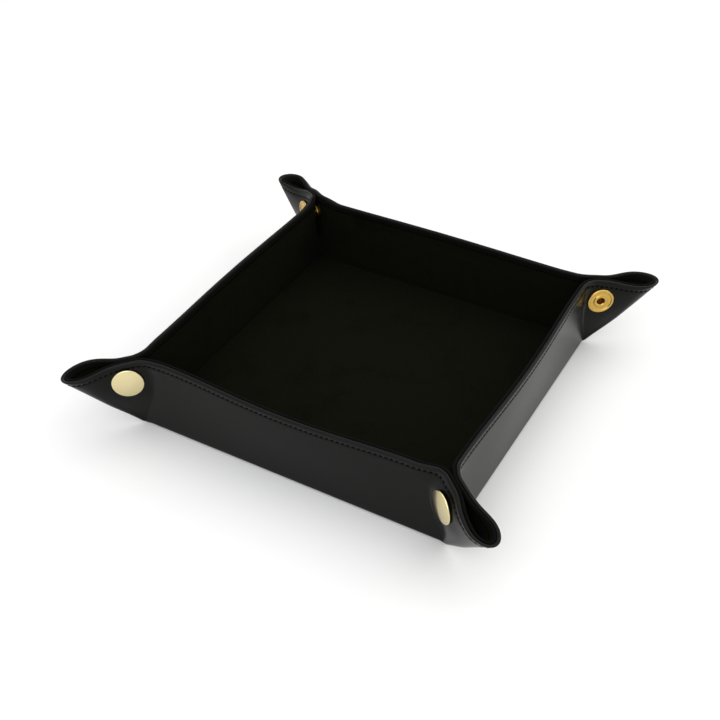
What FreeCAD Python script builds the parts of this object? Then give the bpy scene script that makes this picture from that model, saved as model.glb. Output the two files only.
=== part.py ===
"""Square valet tray with press-stud corners, folded up from one lined leather sheet.

Millimetres, +Z up, origin at the centre of the underside, -Y to the front.
Every corner of the sheet is pinched into an ear: the two halves of the ear run side by side from the
ends of two walls, are held together by a press stud, and join in a round loop at the ear's tip.
"""
import FreeCAD
import Part
import math
import os

Vector = FreeCAD.Vector
UP = Vector(0, 0, 1)

# Sheet and tray
BASE_SIDE = 160.0
WALL_HEIGHT = 40.0
CORNER_RADIUS = 20.0
LEATHER = 1.8
LINING = 1.5

# Stiffening boards, each in a pocket of the lining
BOARD = 0.7
BOARD_CLEARANCE = 0.05
BASE_BOARD_MARGIN = 4.0
WALL_BOARD_FOOT = 2.5
WALL_BOARD_BELOW_RIM = 10.0
WALL_BOARD_END_MARGIN = 4.0

# Fold lines
FOLD_CLEARANCE = 0.1
FOLD_ROUND = 1.5
CREASE_CLEARANCE = 0.05
CREASE_RADIUS = 3.0
CREASE_RUN = 0.5

# Ears
EAR_SWING = 8.0
EAR_LEAN = 43.5
EAR_FOOT = 2.0
FOOT_HALF_GAP = 1.0
PINCH_FROM = 19.0
PINCH_HALF_GAP = 1.9
LOOP_RADIUS = 8.0
LOOP_SPLIT_FOOT = 0.92
LOOP_SPLIT_TOP = 0.5
SEAT_END = 12.0
TIP_CLEARANCE = 0.15
TRIM_OVERRUN = 1.0

# Press studs
SNAP_OUT = 4.0
SNAP_BELOW_RIM = 11.0
SNAP_CLEARANCE = 0.1
CAP_RADIUS = 7.5
CAP_EDGE = 1.0
CAP_DOME = 0.9
SHANK_RADIUS = 2.2
SHANK_WALL = 0.45
FLARE_RADIUS = 3.0
FLARE_THICKNESS = 0.3
SOCKET_RADIUS = 5.5
SOCKET_DEPTH = 2.2
SOCKET_PLATE = 0.5
SOCKET_BORE = 3.8
SOCKET_ROUND = 0.6
SPRING_WIRE = 0.28
SPRING_OPENING = 40.0
SPRING_FROM_FACE = 0.36
STUD_RADIUS = 5.3
STUD_FLANGE = 1.2
STUD_HEAD_RADIUS = 3.3
STUD_NECK_RADIUS = 2.9
STUD_NECK_LENGTH = 1.05
STUD_HEAD_LENGTH = 0.65
STUD_WALL = 0.55
POST_RADIUS = 6.75
POST_BEAD = 1.5
POST_BEAD_HEIGHT = 0.9
POST_DISH_HEIGHT = 0.45
POST_LIP = 0.9
POST_WALL = 0.35

# Sizes that follow
STACK = LEATHER + LINING
HALF = BASE_SIDE / 2
SEAT = PINCH_HALF_GAP + STACK
EAR_TOP = WALL_HEIGHT + TRIM_OVERRUN
SHEET_CORNER = WALL_HEIGHT - CORNER_RADIUS
SNAP_HEIGHT = WALL_HEIGHT - SNAP_BELOW_RIM
SOCKET_BACK = PINCH_HALF_GAP - SOCKET_PLATE
SOCKET_FACE = PINCH_HALF_GAP - SOCKET_DEPTH
STUD_FACE = PINCH_HALF_GAP - STUD_FLANGE
STUD_NECK_END = STUD_FACE - STUD_NECK_LENGTH
STUD_HEAD_END = STUD_NECK_END - STUD_HEAD_LENGTH
STUD_BORE = STUD_NECK_RADIUS - STUD_WALL
POST_TUBE = STUD_BORE - SNAP_CLEARANCE
POST_TUBE_END = STUD_HEAD_END + STUD_WALL

CORNERS = {
    "front_left": (-1, -1),
    "front_right": (1, -1),
    "rear_right": (1, 1),
    "rear_left": (-1, 1),
}
WALLS = {"front": (0, -1), "right": (1, 0), "rear": (0, 1), "left": (-1, 0)}


class HalfEar:
    """One wall's half of an ear, in plan axes: s outwards along the ear, w away from its mid-plane."""

    def __init__(self, corner, holder):
        sign_x, sign_y = CORNERS[corner]
        lean = math.radians(45 - EAR_SWING)
        self.root = Vector(sign_x * HALF, sign_y * HALF, 0)
        self.along = Vector(sign_x * math.cos(lean), sign_y * math.sin(lean), 0)
        self.away = Vector(-sign_x * math.sin(lean), sign_y * math.cos(lean), 0)
        self.turn = lean
        if holder == "stud":
            self.away = self.away * -1
            self.turn = math.pi / 2 - lean

    def point(self, s, w, z):
        return self.root + self.along * s + self.away * w + UP * z

    def start(self):
        """Distance from the tray's corner, along the wall, at which the ear begins."""
        crease = (SEAT + CREASE_RADIUS * (1 - math.cos(self.turn))) / math.sin(self.turn)
        return crease + CREASE_RUN

    def seat(self, level):
        """Outer face's distance from the mid-plane: small at the foot, full where the stud pinches."""
        return FOOT_HALF_GAP + STACK if level == EAR_FOOT else SEAT

    def bend(self, level):
        """Plan position of the axis round which the crease bends."""
        w = self.seat(level) + CREASE_RADIUS
        return (CREASE_RADIUS - w * math.cos(self.turn)) / math.sin(self.turn), w

    def loop(self, level):
        """Radius and centre of the loop; its tip leans outwards from the tray's corner."""
        lean = math.radians(EAR_LEAN)
        tip = level * math.tan(lean) + STACK / 2 / math.cos(lean)
        radius = LOOP_RADIUS if level == EAR_TOP else self.seat(level)
        return radius, tip - radius

    def seat_end(self, level):
        """Where the flat seat ends and the layer begins to flare out to the loop."""
        if level == EAR_FOOT:
            return (self.bend(level)[0] + self.loop(level)[1]) / 2
        return SEAT_END

    def flare(self, level):
        """Angle by which the layer turns outwards from its seat to run tangent into the loop."""
        radius, centre = self.loop(level)
        run = centre - self.seat_end(level)
        seat = self.seat(level)
        return math.asin(radius / math.hypot(run, seat)) - math.atan2(seat, run)

    def arc_point(self, level, depth, angle):
        radius, centre = self.loop(level)
        arc = radius - depth
        return self.point(centre + arc * math.cos(angle), arc * math.sin(angle), level)

    def split(self, level):
        """Share of the arc, from the tip, that uncurls: nearly all at the foot, half at the top."""
        rise = (level - EAR_FOOT) / (EAR_TOP - EAR_FOOT)
        return LOOP_SPLIT_FOOT + (LOOP_SPLIT_TOP - LOOP_SPLIT_FOOT) * rise

    def seat_line(self, level, depth):
        """Points of one face, a depth inside the leather's outer face, from the wall into the loop."""
        bend_s, bend_w = self.bend(level)
        flare = self.flare(level)
        first = math.pi / 2 + flare
        cos_turn, sin_turn = math.cos(self.turn), math.sin(self.turn)
        bend = CREASE_RADIUS + depth
        half_turn = self.turn / 2
        start = self.start()
        face = self.seat(level) - depth
        plan = [
            (-start * cos_turn - depth * sin_turn, start * sin_turn - depth * cos_turn),
            (bend_s - bend * sin_turn, bend_w - bend * cos_turn),
            (bend_s - bend * math.sin(half_turn), bend_w - bend * math.cos(half_turn)),
            (bend_s, face),
            (self.seat_end(level) + depth * math.tan(flare / 2), face),
        ]
        line = [self.point(s, w, level) for s, w in plan]
        split = self.split(level)
        shares = (1, (1 + split) / 2, split)
        return line + [self.arc_point(level, depth, first * share) for share in shares]

    def loop_line(self, level, depth):
        """Start, middle and end of one face's arc that uncurls, up to the ear's mid-plane."""
        first = (math.pi / 2 + self.flare(level)) * self.split(level)
        last = math.asin(TIP_CLEARANCE / (self.loop(level)[0] - depth))
        return [self.arc_point(level, depth, angle) for angle in (first, (first + last) / 2, last)]

    def seat_wire(self, level, outer, inner):
        a = self.seat_line(level, outer)
        b = self.seat_line(level, inner)
        edges = [
            Part.makeLine(a[0], a[1]),
            Part.Arc(a[1], a[2], a[3]).toShape(),
            Part.makeLine(a[3], a[4]),
            Part.makeLine(a[4], a[5]),
            Part.Arc(a[5], a[6], a[7]).toShape(),
            Part.makeLine(a[7], b[7]),
            Part.Arc(b[7], b[6], b[5]).toShape(),
            Part.makeLine(b[5], b[4]),
            Part.makeLine(b[4], b[3]),
            Part.Arc(b[3], b[2], b[1]).toShape(),
            Part.makeLine(b[1], b[0]),
            Part.makeLine(b[0], a[0]),
        ]
        return Part.Wire(edges)

    def loop_wire(self, level, outer, inner):
        a = self.loop_line(level, outer)
        b = self.loop_line(level, inner)
        edges = [
            Part.Arc(*a).toShape(),
            Part.makeLine(a[2], b[2]),
            Part.Arc(b[2], b[1], b[0]).toShape(),
            Part.makeLine(b[0], a[0]),
        ]
        return Part.Wire(edges)

    def rim(self):
        """Everything below the ear's rim: level, then down the sheet's rounded corner to the tip."""
        inner_s = -self.start() - SEAT
        outer_s = SHEET_CORNER + CORNER_RADIUS
        side = -(SEAT + LOOP_RADIUS)
        slant = CORNER_RADIUS / math.sqrt(2)
        corners = [
            self.point(inner_s, side, 0),
            self.point(outer_s, side, 0),
            self.point(outer_s, side, SHEET_CORNER),
            self.point(SHEET_CORNER, side, WALL_HEIGHT),
            self.point(inner_s, side, WALL_HEIGHT),
        ]
        shoulder = self.point(SHEET_CORNER + slant, side, SHEET_CORNER + slant)
        edges = [
            Part.makeLine(corners[0], corners[1]),
            Part.makeLine(corners[1], corners[2]),
            Part.Arc(corners[2], shoulder, corners[3]).toShape(),
            Part.makeLine(corners[3], corners[4]),
            Part.makeLine(corners[4], corners[0]),
        ]
        return Part.Face(Part.Wire(edges)).extrude(self.away * (-2 * side))

    def layer(self, wire, outer, inner):
        sections = [wire(level, outer, inner) for level in (EAR_FOOT, PINCH_FROM, EAR_TOP)]
        return Part.makeLoft(sections, True, True).common(self.rim())

    def bored(self, radius, w_from, w_to):
        return Part.makeCylinder(radius, w_to - w_from, self.point(SNAP_OUT, w_from, SNAP_HEIGHT), self.away)

    def turned(self, outline):
        """Solid of revolution about the press stud's axis from (radius, w) points.

        A point that follows the word "arc" is the middle of an arc.
        """
        places = []
        through = []
        for item in outline:
            if item == "arc":
                through.append(len(places))
            else:
                places.append(self.point(SNAP_OUT, item[1], SNAP_HEIGHT + item[0]))
        places.append(places[0])
        edges = []
        index = 0
        while index < len(places) - 1:
            if index + 1 in through:
                edges.append(Part.Arc(*places[index:index + 3]).toShape())
                index += 2
            else:
                edges.append(Part.makeLine(places[index], places[index + 1]))
                index += 1
        axis_point = self.point(SNAP_OUT, 0, SNAP_HEIGHT)
        return Part.Face(Part.Wire(edges)).revolve(axis_point, self.away, 360)


def export(name, *solids):
    shape = solids[0] if len(solids) == 1 else Part.makeCompound(list(solids))
    shape.exportStep("parts/" + name + ".step")


def slab(side_x, side_y, z_from, z_to):
    return Part.makeBox(side_x, side_y, z_to - z_from, Vector(-side_x / 2, -side_y / 2, z_from))


def make_base():
    """Flat bottom inside the walls: leather below, board in a pocket of the lining above it."""
    leather_side = BASE_SIDE - 2 * (LEATHER + FOLD_CLEARANCE)
    lining_side = BASE_SIDE - 2 * (STACK + FOLD_CLEARANCE)
    board_side = lining_side - 2 * BASE_BOARD_MARGIN
    pocket_side = board_side + 2 * BOARD_CLEARANCE
    pocket = slab(pocket_side, pocket_side, LEATHER, LEATHER + BOARD)
    export("base_leather", slab(leather_side, leather_side, 0, LEATHER))
    export("base_board", slab(board_side, board_side, LEATHER, LEATHER + BOARD))
    export("base_lining", slab(lining_side, lining_side, LEATHER, STACK).cut(pocket))


def wall_slab(outward, length, depth_from, depth_to, z_from, z_to):
    """Upright slab of a wall, between two depths inside the leather's outer face."""
    x, y = outward
    sides = (Vector(x, y, 0) * (HALF - depth_from), Vector(x, y, 0) * (HALF - depth_to))
    run = Vector(abs(y), abs(x), 0) * (length / 2)
    corners = [sides[0] - run, sides[0] + run, sides[1] + run, sides[1] - run]
    foot = Part.makePolygon([c + UP * z_from for c in corners + corners[:1]])
    return Part.Face(foot).extrude(UP * (z_to - z_from))


def rounded_foot(wall, outward):
    """Wall slab with the edge it folds about, at its outer foot, rounded."""
    x, y = outward
    for edge in wall.Edges:
        middle = edge.CenterOfMass
        at_foot = middle.z < FOLD_ROUND
        if at_foot and abs(middle.x * x + middle.y * y - HALF) < FOLD_CLEARANCE and edge.Length > HALF:
            return wall.makeFillet(FOLD_ROUND, [edge])
    raise ValueError("no foot edge on this wall")


def make_wall(name, outward):
    holder = "cap" if outward[0] == 0 else "stud"
    length = BASE_SIDE - 2 * (HalfEar("front_left", holder).start() + CREASE_CLEARANCE)
    board_length = length - 2 * WALL_BOARD_END_MARGIN
    board_foot = STACK + WALL_BOARD_FOOT
    board_top = WALL_HEIGHT - WALL_BOARD_BELOW_RIM
    board_depth = LEATHER + BOARD
    pocket = wall_slab(
        outward,
        board_length + 2 * BOARD_CLEARANCE,
        LEATHER,
        board_depth,
        board_foot - BOARD_CLEARANCE,
        board_top + BOARD_CLEARANCE,
    )
    lining_foot = LEATHER + FOLD_CLEARANCE
    leather = wall_slab(outward, length, 0, LEATHER, 0, WALL_HEIGHT)
    lining = wall_slab(outward, length, LEATHER, STACK, lining_foot, WALL_HEIGHT).cut(pocket)
    board = wall_slab(outward, board_length, LEATHER, board_depth, board_foot, board_top)
    export(name + "_wall_leather", rounded_foot(leather, outward))
    export(name + "_wall_board", board)
    export(name + "_wall_lining", lining)


def make_half_ear(corner, holder, seat_radius, hole_radius):
    half = HalfEar(corner, holder)
    hole = half.bored(hole_radius + SNAP_CLEARANCE, 0, SEAT + LOOP_RADIUS)
    seat = half.bored(seat_radius + SNAP_CLEARANCE, SEAT, SEAT + LOOP_RADIUS)
    leather = half.layer(half.seat_wire, 0, LEATHER).cut(hole).cut(seat)
    lining = half.layer(half.seat_wire, LEATHER, STACK).cut(hole)
    loop = [half.layer(half.loop_wire, 0, LEATHER), half.layer(half.loop_wire, LEATHER, STACK)]
    name = corner + "_" + holder + "_ear"
    export(name + "_leather", leather)
    export(name + "_lining", lining)
    export(name + "_loop", *loop)


def make_cap(half):
    """Domed cap whose tubular shank passes through both layers and is flared inside the socket."""
    edge = SEAT + CAP_EDGE
    top = edge + CAP_DOME
    face = CAP_RADIUS - CAP_EDGE / 2
    bore = SHANK_RADIUS - SHANK_WALL
    flare_end = SOCKET_BACK - FLARE_THICKNESS
    dome_turn = math.atan2(CAP_DOME, face)
    dome_radius = face / math.sin(2 * dome_turn)
    dome_mid = dome_radius * math.sin(dome_turn)
    dome_drop = dome_radius * (1 - math.cos(dome_turn))
    return half.turned([
        (0, top),
        "arc",
        (dome_mid, top - dome_drop),
        (face, edge),
        "arc",
        (CAP_RADIUS, SEAT + CAP_EDGE / 2),
        (face, SEAT),
        (SHANK_RADIUS, SEAT),
        (SHANK_RADIUS, SOCKET_BACK),
        (FLARE_RADIUS, SOCKET_BACK),
        (FLARE_RADIUS, flare_end),
        (bore, flare_end),
        (bore, SEAT),
        (0, SEAT),
    ])


def make_socket(half):
    hole = SHANK_RADIUS + SNAP_CLEARANCE
    round_mid = SOCKET_ROUND * (1 - math.sqrt(0.5))
    return half.turned([
        (hole, PINCH_HALF_GAP),
        (SOCKET_RADIUS, PINCH_HALF_GAP),
        (SOCKET_RADIUS, SOCKET_FACE + SOCKET_ROUND),
        "arc",
        (SOCKET_RADIUS - round_mid, SOCKET_FACE + round_mid),
        (SOCKET_RADIUS - SOCKET_ROUND, SOCKET_FACE),
        (SOCKET_BORE, SOCKET_FACE),
        (SOCKET_BORE, SOCKET_BACK),
        (hole, SOCKET_BACK),
    ])


def make_spring(half):
    """Open wire ring inside the socket, which grips the stud behind its head."""
    ring = SOCKET_BORE - SNAP_CLEARANCE / 2 - SPRING_WIRE
    middle = half.point(SNAP_OUT, SOCKET_FACE + SPRING_FROM_FACE, SNAP_HEIGHT)
    return Part.makeTorus(ring, SPRING_WIRE, middle, half.away, -180, 180, 360 - SPRING_OPENING)


def make_stud(half):
    head_mid = (STUD_NECK_END + STUD_HEAD_END) / 2
    flange_mid = (PINCH_HALF_GAP + STUD_FACE) / 2
    flange_face = STUD_RADIUS - STUD_FLANGE / 2
    return half.turned([
        (STUD_BORE, PINCH_HALF_GAP),
        (flange_face, PINCH_HALF_GAP),
        "arc",
        (STUD_RADIUS, flange_mid),
        (flange_face, STUD_FACE),
        (STUD_NECK_RADIUS, STUD_FACE),
        (STUD_NECK_RADIUS, STUD_NECK_END),
        "arc",
        (STUD_HEAD_RADIUS, head_mid),
        (STUD_NECK_RADIUS, STUD_HEAD_END),
        (0, STUD_HEAD_END),
        (0, POST_TUBE_END),
        (STUD_BORE, POST_TUBE_END),
    ])


def make_post(half):
    """Ringed eyelet whose tube passes through both layers into the hollow stud."""
    bore = POST_TUBE - POST_WALL
    dish = SEAT + POST_DISH_HEIGHT
    bead_inner = POST_RADIUS - POST_BEAD
    lip_outer = bore + 2 * POST_LIP
    return half.turned([
        (POST_TUBE, POST_TUBE_END),
        (POST_TUBE, SEAT),
        (POST_RADIUS, SEAT),
        "arc",
        (POST_RADIUS - POST_BEAD / 2, SEAT + POST_BEAD_HEIGHT),
        (bead_inner, dish),
        (lip_outer, dish),
        "arc",
        (bore + POST_LIP, SEAT + POST_BEAD_HEIGHT),
        (bore, dish),
        (bore, POST_TUBE_END),
    ])


def make_corner(corner):
    make_half_ear(corner, "cap", CAP_RADIUS, SHANK_RADIUS)
    make_half_ear(corner, "stud", POST_RADIUS, POST_TUBE)
    cap_half = HalfEar(corner, "cap")
    stud_half = HalfEar(corner, "stud")
    export(corner + "_snap_cap", make_cap(cap_half))
    export(corner + "_snap_socket", make_socket(cap_half))
    export(corner + "_snap_spring", make_spring(cap_half))
    export(corner + "_snap_stud", make_stud(stud_half))
    export(corner + "_snap_post", make_post(stud_half))


os.makedirs("parts", exist_ok=True)
make_base()
for wall_name, wall_outward in WALLS.items():
    make_wall(wall_name, wall_outward)
for corner_name in CORNERS:
    make_corner(corner_name)
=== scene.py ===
"""Looks of a square leather valet tray with press-stud corners.

The tray is one lined leather sheet, folded up. Each wall is drawn as a grid that runs from the
tip of one ear, through the ear's loop and seat, along the wall and out to the tip of the next
ear. The grid is then cut into pieces where the sheet bends.
"""
import math

import bpy
import numpy as np
from mathutils import Matrix, Vector


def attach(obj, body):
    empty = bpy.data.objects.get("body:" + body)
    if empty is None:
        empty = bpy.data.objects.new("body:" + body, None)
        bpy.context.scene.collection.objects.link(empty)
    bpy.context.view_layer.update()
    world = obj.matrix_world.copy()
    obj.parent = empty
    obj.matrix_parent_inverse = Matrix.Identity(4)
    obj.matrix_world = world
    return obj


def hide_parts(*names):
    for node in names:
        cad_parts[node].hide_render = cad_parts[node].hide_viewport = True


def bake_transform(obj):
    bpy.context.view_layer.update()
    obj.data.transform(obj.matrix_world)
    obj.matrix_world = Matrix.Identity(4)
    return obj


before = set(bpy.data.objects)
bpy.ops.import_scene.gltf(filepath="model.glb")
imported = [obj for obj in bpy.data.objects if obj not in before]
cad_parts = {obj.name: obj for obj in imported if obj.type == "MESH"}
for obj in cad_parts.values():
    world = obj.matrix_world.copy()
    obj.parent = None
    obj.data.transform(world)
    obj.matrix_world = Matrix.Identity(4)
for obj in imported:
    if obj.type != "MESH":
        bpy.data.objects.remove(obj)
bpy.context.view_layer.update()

bl_info = {
    "name": "Valet tray",
    "version": (1, 0, 0),
    "blender": (4, 5, 0),
    "location": "View3D > Sidebar > Tray",
    "description": "Builds the looks of a folding leather valet tray on its packed frame",
    "category": "Object",
}

MM = 0.001
UP = np.array([0.0, 0.0, 1.0])
CORNERS = {
    "front_left": (-1, -1),
    "front_right": (1, -1),
    "rear_right": (1, 1),
    "rear_left": (-1, 1),
}
# wall: outward direction, then the corners at its two ends
WALLS = {
    "front": ((0, -1), "front_left", "front_right"),
    "right": ((1, 0), "front_right", "rear_right"),
    "rear": ((0, 1), "rear_right", "rear_left"),
    "left": ((-1, 0), "rear_left", "front_left"),
}


def length_property(name, description, metres):
    return bpy.props.FloatProperty(
        name=name, description=description, default=metres, unit="LENGTH")


def angle_property(name, description, degrees):
    return bpy.props.FloatProperty(
        name=name, description=description, default=math.radians(degrees), subtype="ANGLE")


def colour_property(name, description, colour):
    return bpy.props.FloatVectorProperty(
        name=name, description=description, default=colour, subtype="COLOR", size=3, min=0, max=1)


class TraySizes(bpy.types.PropertyGroup):
    """Sizes of the sheet, its folds and its sewing."""

    base_side: length_property("Base side", "Side of the square bottom", 0.160)
    wall_height: length_property("Wall height", "Height of the rim above the table", 0.040)
    rim_fall: length_property(
        "Rim fall", "How far the rim falls from the press stud to the ear's tip", 0.0064)
    leather: length_property("Leather", "Thickness of the outer leather", 0.0018)
    lining: length_property("Lining", "Thickness of the suede lining", 0.0015)
    pinch_half_gap: length_property(
        "Pinch half gap", "Half the gap between an ear's two linings at its press stud", 0.0019)
    foot_half_width: length_property(
        "Foot half width", "Half the width of an ear at the table", 0.0009)
    loop_radius: length_property(
        "Loop radius", "Outer radius of an ear's loop at the top", 0.0080)
    ear_swing: angle_property(
        "Ear swing", "Turn of the ears from the diagonals towards the sides", 8)
    ear_lean: angle_property("Ear lean", "Lean of an ear's tip line from upright", 43.5)
    rim_bow: length_property(
        "Rim bow", "How far a wall's rim bows outwards at mid-length", 0.0016)
    stitch_inset: length_property("Stitch inset", "Distance of the sewing from the rim", 0.0029)
    stitch_pitch: length_property("Stitch pitch", "Distance from one stitch to the next", 0.00254)


class TrayFinishes(bpy.types.PropertyGroup):
    """Colours of the tray and its table."""

    leather: colour_property("Leather", "Colour of the outer leather", (0.0042, 0.0045, 0.0038))
    suede: colour_property("Suede", "Colour of the lining", (0.0020, 0.0022, 0.0010))
    thread: colour_property("Thread", "Colour of the sewing thread", (0.004, 0.004, 0.004))
    cap: colour_property("Cap", "Colour of the press-stud caps", (0.70, 0.60, 0.34))
    brass: colour_property(
        "Brass", "Colour of the eyelets, sockets and studs", (0.54, 0.35, 0.085))
    table: colour_property("Table", "Colour of the surface under the tray", (0.86, 0.86, 0.86))


def sizes():
    return bpy.context.scene.tray_sizes


def finishes():
    return bpy.context.scene.tray_finishes


# The constants below are in millimetres, unless they are shares, counts or powers.

# crease between a wall and an ear
WALL_RUN = 17.0
CREASE_RADIUS = 11.0
CREASE_RADIUS_FOOT = 0.3
CREASE_POWER = 2.6
CREASE_AT_FOOT = 4.0
CREASE_SPREAD = 4.4

# seat of the press stud, where an ear is pinched
PINCH_FROM = 25.0
PINCH_TO = 31.0
RIM_HALF_GAP = -0.2
SEAT_FLAT = 6.5
SEAT_SHARE = 0.55
MID_CLEARANCE = 0.03
SNAP_OUT = 4.0
SNAP_HEIGHT = 29.0
HOLE_RADIUS = 3.6

# an ear's tip line, loop and rim
TIP_FROM = 16.0
LOOP_GROWTH = 1.2
LOOP_TOP = 38.0
LOOP_OVERRUN = 1.1
LOOP_LIMIT = 0.96
RIM_FROM = -3.0
RIM_RUN = 37.0
RIM_POWER = 1.15
SEARCH_FROM = 15.0
SEARCH_ABOVE = 0.01
SEARCH_STEPS = 40

# what sets the four ears apart, and how far it reaches along an ear
LOOP_LENGTH = {"front_left": 1.6, "front_right": 1.6, "rear_right": 1.6, "rear_left": 1.05}
LOOP_SIZE = {"front_left": 1.0, "front_right": 0.88, "rear_right": 1.0, "rear_left": 0.97}
EAR_CURL = {"front_left": -3.4, "front_right": 1.8, "rear_right": -0.4, "rear_left": 5.5}
EAR_LIFT = {"front_left": 0.0, "front_right": -0.4, "rear_right": 2.9, "rear_left": 5.8}
EAR_REACH = {"front_left": 0.0, "front_right": 1.2, "rear_right": 1.6, "rear_left": 0.4}
EAR_SHIFT = {"front_left": -1.1, "front_right": 1.2, "rear_right": 0.5, "rear_left": 0.0}
NECK_RISE = {"front_left": 0.0, "front_right": 0.7, "rear_right": 0.6, "rear_left": 2.0}
CURL_FROM = 4.0
CURL_RUN = 30.0
CURL_POWER = 1.4
LIFT_FROM = 8.0
LIFT_RUN = 26.0
TIP_OVERRUN = 1.2
SHIFT_FROM = 6.0
SHIFT_RUN = 12.0
SEAM_RUN = 8.0

# rows of a skin, from the fold round the bottom up to the rim and over it
FOLD_ROUND = 1.5
INNER_FOLD = 0.8
FOLD_STEPS = 5
BEAD_STEPS = 9
RIM_TUCK = 2.6
# skin: lift off the bottom's face, tucks under it, radius of the fold, rows of the face
LEATHER_ROWS = (0.04, (4.0, 2.6), FOLD_ROUND, 16)
LINING_ROWS = (0.02, (4.0, 2.0), INNER_FOLD, 26)
BORDER = 6.0
BORDER_ROWS = (5.2, 4.6, 4.1, 3.7, 3.4, 3.15, 2.9, 2.65, 2.4, 2.1, 1.7, 1.3, 0.95)
GROOVE_DEPTH = 0.28
GROOVE_WIDTH = 0.55

# walls and the boards in them
RIM_DIP = {"front": 1.8, "right": 0.5, "rear": 0.5, "left": 0.5}
BOARD_TOP = 30.0
BOARD_HEIGHTS = (6.0, 14.0, 22.0, BOARD_TOP)
BOARD_FACES = (0.05, 0.6)
BOARD_COLUMNS = 25
RIDGE = 0.35
RIDGE_END_RUN = 6.0
RIDGE_FOOT = 4.0
RIDGE_FOOT_RUN = 3.0
RIDGE_ABOVE_BOARD = 1.2
RIDGE_TOP_RUN = 1.6

# bottom and the strips at its corners
BOTTOM_CLEARANCE = 0.1
BOTTOM_CUT = 6.0
BOTTOM_BOARD = 0.9
LEATHER_TAB = (-1.0, 0.4)
LINING_TAB = (-2.4, 0.6)
FOLD_BACKING = 0.12
FOLD_STRIP = 7.0
FOLD_STRIP_ROWS = 4
FOLD_STRIP_COLUMNS = 9
FOLD_MITRE = 1.4

# where the fold round the bottom and the loops start and end bending
LOOP_HEIGHTS = (6.0, 20.0, 34.0)

# sewing
STITCH_LENGTH = 2.05
STITCH_RADIUS = 0.34
STITCH_END_RADIUS = 0.01
STITCH_SINK = 0.30
STITCH_SLANT = math.radians(7)
STITCH_RINGS = 6
STITCH_SIDES = 7
STITCH_ON_LEATHER = 0.06
STITCH_IN_SUEDE = -0.22
STITCH_LOOK = 0.6


def ease(x):
    x = np.clip(x, 0.0, 1.0)
    return x * x * (3 - 2 * x)


class Sheet:
    """Sizes of the sheet in millimetres."""

    def __init__(self):
        values = sizes()
        self.half = values.base_side / MM / 2
        self.reach = self.half - WALL_RUN
        self.height = values.wall_height / MM
        self.fall = values.rim_fall / MM
        self.leather = values.leather / MM
        self.stack = (values.leather + values.lining) / MM
        self.gap = values.pinch_half_gap / MM
        self.foot = values.foot_half_width / MM
        self.loop = values.loop_radius / MM
        self.swing = values.ear_swing
        self.lean = values.ear_lean
        self.bow = values.rim_bow / MM
        self.inset = values.stitch_inset / MM
        self.pitch = values.stitch_pitch / MM

    def rim(self, s):
        """Height of the rim at a distance s outwards along an ear."""
        return self.height - self.fall * (np.clip(s - RIM_FROM, 0.0, None) / RIM_RUN) ** RIM_POWER

    def top(self, z):
        """Share of the way from the pinch up to the rim."""
        return ease((z - PINCH_TO) / (self.height - PINCH_TO))


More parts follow.
